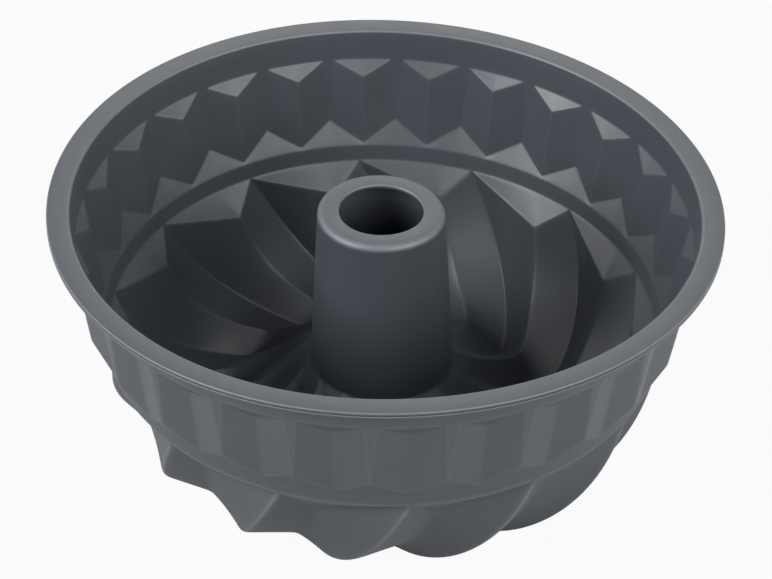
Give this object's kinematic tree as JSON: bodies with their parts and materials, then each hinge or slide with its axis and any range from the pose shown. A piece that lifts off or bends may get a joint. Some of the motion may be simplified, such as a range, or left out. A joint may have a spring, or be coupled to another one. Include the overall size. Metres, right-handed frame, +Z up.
{
  "type": "kugelhopf mould",
  "caption": "Round flexible baking mould with a flat rim, a fluted upper wall, a twisted lobed channel and a hollow central chimney.",
  "frame": {"origin": "centre of the mould on the surface that it stands on", "axes": "+Z up along the chimney, out of the open mouth; -Y towards the viewer of the picture; +X to the right"},
  "size_m": [0.22, 0.22, 0.0974],
  "materials": {
    "silicone": "satin moulded silicone"
  },
  "bodies": {
    "root": {"rim_flange": "silicone", "rim_collar": "silicone", "fluted_band": "silicone", "step_ring": "silicone", "swirl_lobe_01": "silicone", "swirl_lobe_02": "silicone", "swirl_lobe_03": "silicone", "swirl_lobe_04": "silicone", "swirl_lobe_05": "silicone", "swirl_lobe_06": "silicone", "swirl_lobe_07": "silicone", "swirl_lobe_08": "silicone", "swirl_lobe_09": "silicone", "swirl_lobe_10": "silicone", "swirl_lobe_11": "silicone", "swirl_lobe_12": "silicone", "swirl_lobe_13": "silicone", "swirl_lobe_14": "silicone", "chimney_wall": "silicone", "chimney_top": "silicone"}
  },
  "joints": []
}
